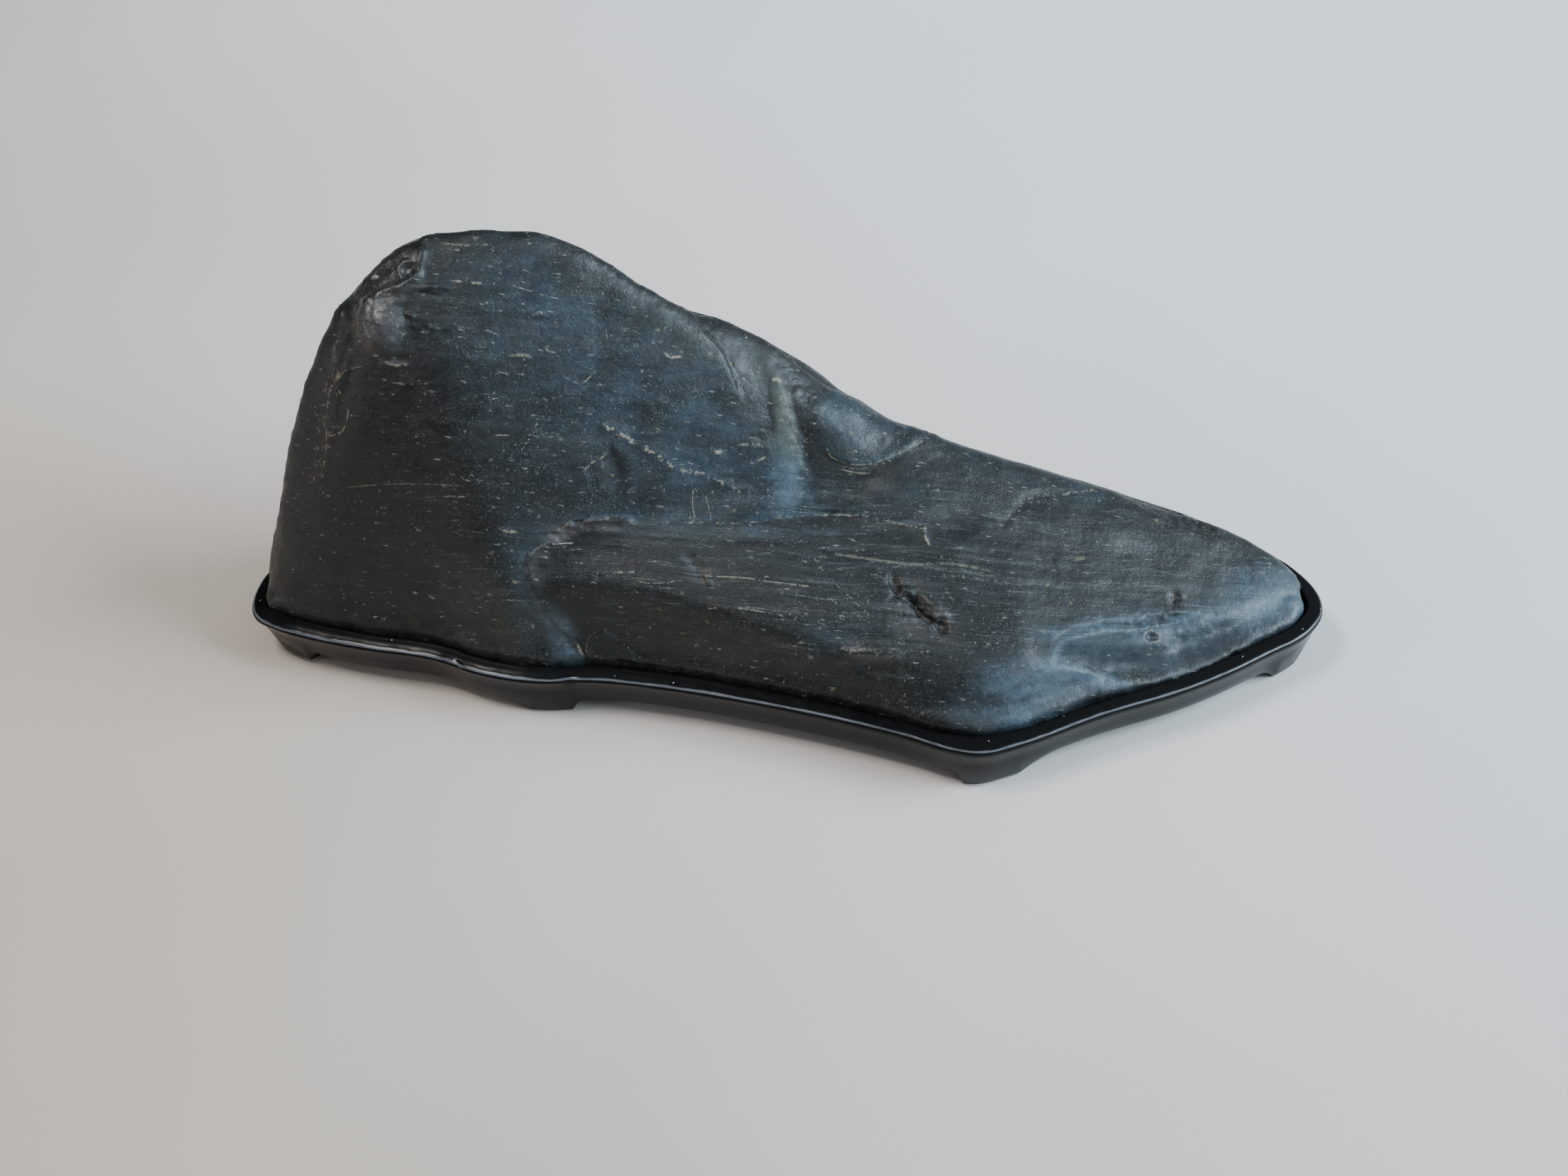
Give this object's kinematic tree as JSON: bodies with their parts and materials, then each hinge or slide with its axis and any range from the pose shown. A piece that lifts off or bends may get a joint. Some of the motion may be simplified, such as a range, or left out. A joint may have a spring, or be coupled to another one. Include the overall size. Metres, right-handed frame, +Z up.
{
  "type": "scholar's rock on a stand",
  "caption": "Dark water-worn stone with a tall rounded peak, a thick front ledge and a long low tail, resting in a carved black lacquered footed stand.",
  "frame": {"origin": "on the table under the middle of the stand's outline", "axes": "+X along the longest side, from the peak's end to the low tail; -Y is the front; +Z is up"},
  "size_m": [0.3, 0.1178, 0.117],
  "materials": {
    "dark_stone": "satin, water-worn, faintly striped",
    "black_lacquer": "satin black lacquer"
  },
  "bodies": {
    "root": {"stone": "dark_stone", "stand": "black_lacquer"}
  },
  "joints": []
}
